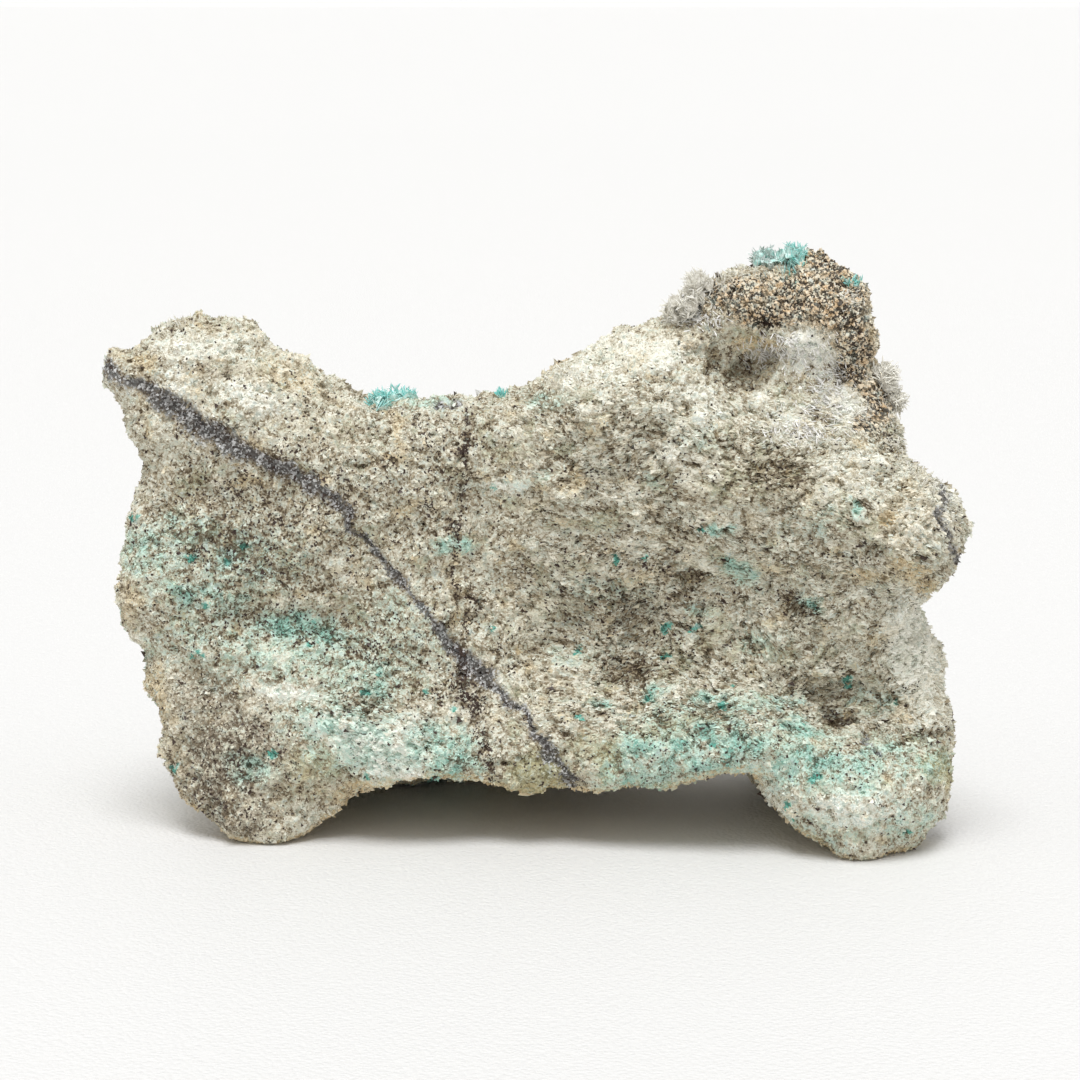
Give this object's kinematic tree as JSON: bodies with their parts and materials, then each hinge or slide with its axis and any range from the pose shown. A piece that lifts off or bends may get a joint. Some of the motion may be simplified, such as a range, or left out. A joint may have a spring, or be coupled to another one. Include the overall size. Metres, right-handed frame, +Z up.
{
  "type": "hemimorphite specimen",
  "caption": "Wedge-shaped hand specimen of pale crumbly matrix with blue-green staining, a dark vein and small tufts of crystals on its upper edge.",
  "frame": {"origin": "middle of the specimen's bounding box in plan, at the level of the surface it stands on", "axes": "+X along its length, to the right when its broken front face is looked at; -Y towards the viewer of that face; +Z up"},
  "size_m": [0.0952, 0.0574, 0.0674],
  "materials": {
    "matrix": "rough, crumbly, sugary mineral grains",
    "colourless_crystal": "clear to white vitreous crystals",
    "grey_crystal": "clear to grey vitreous crystals",
    "teal_crystal": "blue-green vitreous crystals"
  },
  "bodies": {
    "root": {"matrix": "matrix", "rear_druse": "colourless_crystal", "crest_druse": "grey_crystal", "shoulder_druse": "grey_crystal", "teal_tuft": "teal_crystal", "saddle_tuft": "teal_crystal"}
  },
  "joints": []
}
